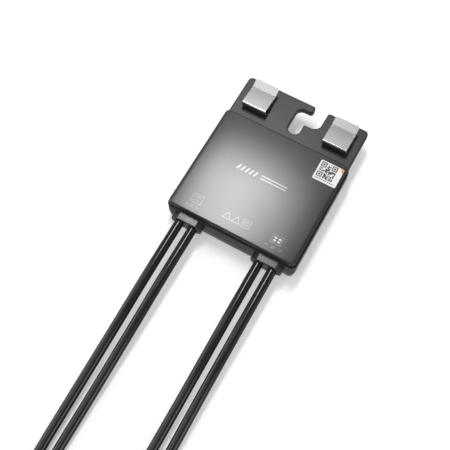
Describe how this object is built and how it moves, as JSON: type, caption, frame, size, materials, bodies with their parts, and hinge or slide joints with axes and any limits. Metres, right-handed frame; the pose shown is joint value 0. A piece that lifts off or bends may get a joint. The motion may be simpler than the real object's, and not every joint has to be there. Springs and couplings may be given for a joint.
{
  "type": "module-level solar power optimizer",
  "caption": "Flat sealed box with a hooked mounting flange, sprung frame clips and cable leads with single-pole connectors.",
  "frame": {"origin": "bottom centre of the device without its cables, on the flat back face", "axes": "+Z out of the front cover, +Y towards the hook flange, the cables leave towards -Y"},
  "size_m": [0.1246, 0.4816, 0.026],
  "materials": {
    "housing": "moulded glass-filled plastic, fine texture, satin",
    "cover": "drawn aluminium sheet, metallic grey paint, satin",
    "rubber": "matte silicone",
    "gland": "moulded elastomer, satin",
    "screw_steel": "zinc plated",
    "spring_steel": "rolled spring strip, bright",
    "board": "solder mask",
    "ferrite": "sintered",
    "copper": "enamelled or bare copper",
    "chip": "moulded epoxy",
    "tinned": "tin plated",
    "ceramic": "fired ceramic",
    "capacitor": "moulded film capacitor case",
    "thermal_pad": "soft gap filler",
    "potting": "cast silicone",
    "label": "printed film",
    "cable_jacket": "smooth glossy jacket",
    "connector": "moulded polyamide"
  },
  "bodies": {
    "device": {"auxiliary_supply": "chip", "base_housing": "housing", "bypass_diode": "chip", "ceramic_capacitors": "ceramic", "circuit_board": "board", "clip_rivets": "screw_steel", "code_label": "label", "communication_chip": "chip", "communication_filter": "ferrite", "control_chip": "chip", "cover_gasket": "rubber", "cover_screws": "screw_steel", "crystal": "tinned", "current_shunt": "tinned", "front_cover": "cover", "inductor_core_lower": "ferrite", "inductor_core_upper": "ferrite", "inductor_winding": "copper", "input_cable_inner": "cable_jacket", "input_cable_outer": "cable_jacket", "input_capacitors": "capacitor", "input_inner_plug_contact": "tinned", "input_inner_plug_nut": "connector", "input_inner_plug_seal": "rubber", "input_inner_plug_shell": "connector", "input_lead_conductors": "copper", "input_lead_jackets": "cable_jacket", "input_outer_socket_contact": "tinned", "input_outer_socket_nut": "connector", "input_outer_socket_seal": "rubber", "input_outer_socket_shell": "connector", "input_terminals": "tinned", "left_cable_gland": "gland", "left_clip_foot": "spring_steel", "output_cable_inner": "cable_jacket", "output_cable_outer": "cable_jacket", "output_capacitors": "capacitor", "output_coil_inner": "cable_jacket", "output_coil_outer": "cable_jacket", "output_inner_socket_contact": "tinned", "output_inner_socket_nut": "connector", "output_inner_socket_seal": "rubber", "output_inner_socket_shell": "connector", "output_lead_conductors": "copper", "output_lead_jackets": "cable_jacket", "output_outer_plug_contact": "tinned", "output_outer_plug_nut": "connector", "output_outer_plug_seal": "rubber", "output_outer_plug_shell": "connector", "output_tail_inner": "cable_jacket", "output_tail_outer": "cable_jacket", "output_terminals": "tinned", "potting_compound": "potting", "right_cable_gland": "gland", "right_clip_foot": "spring_steel", "switching_transistors": "chip", "thermal_pad": "thermal_pad"},
    "left_leaf": {"left_clip_leaf": "spring_steel"},
    "right_leaf": {"right_clip_leaf": "spring_steel"}
  },
  "joints": [
    {"name": "left_clip_flex", "type": "hinge", "parent": "device", "child": "left_leaf", "pos_m": [-0.0304, 0.03795, 0.0236], "axis": [1, 0, 0], "range_deg": [0, 8], "stiffness_Nm_per_rad": 2.5},
    {"name": "right_clip_flex", "type": "hinge", "parent": "device", "child": "right_leaf", "pos_m": [0.0304, 0.03795, 0.0236], "axis": [1, 0, 0], "range_deg": [0, 8], "stiffness_Nm_per_rad": 2.5}
  ]
}
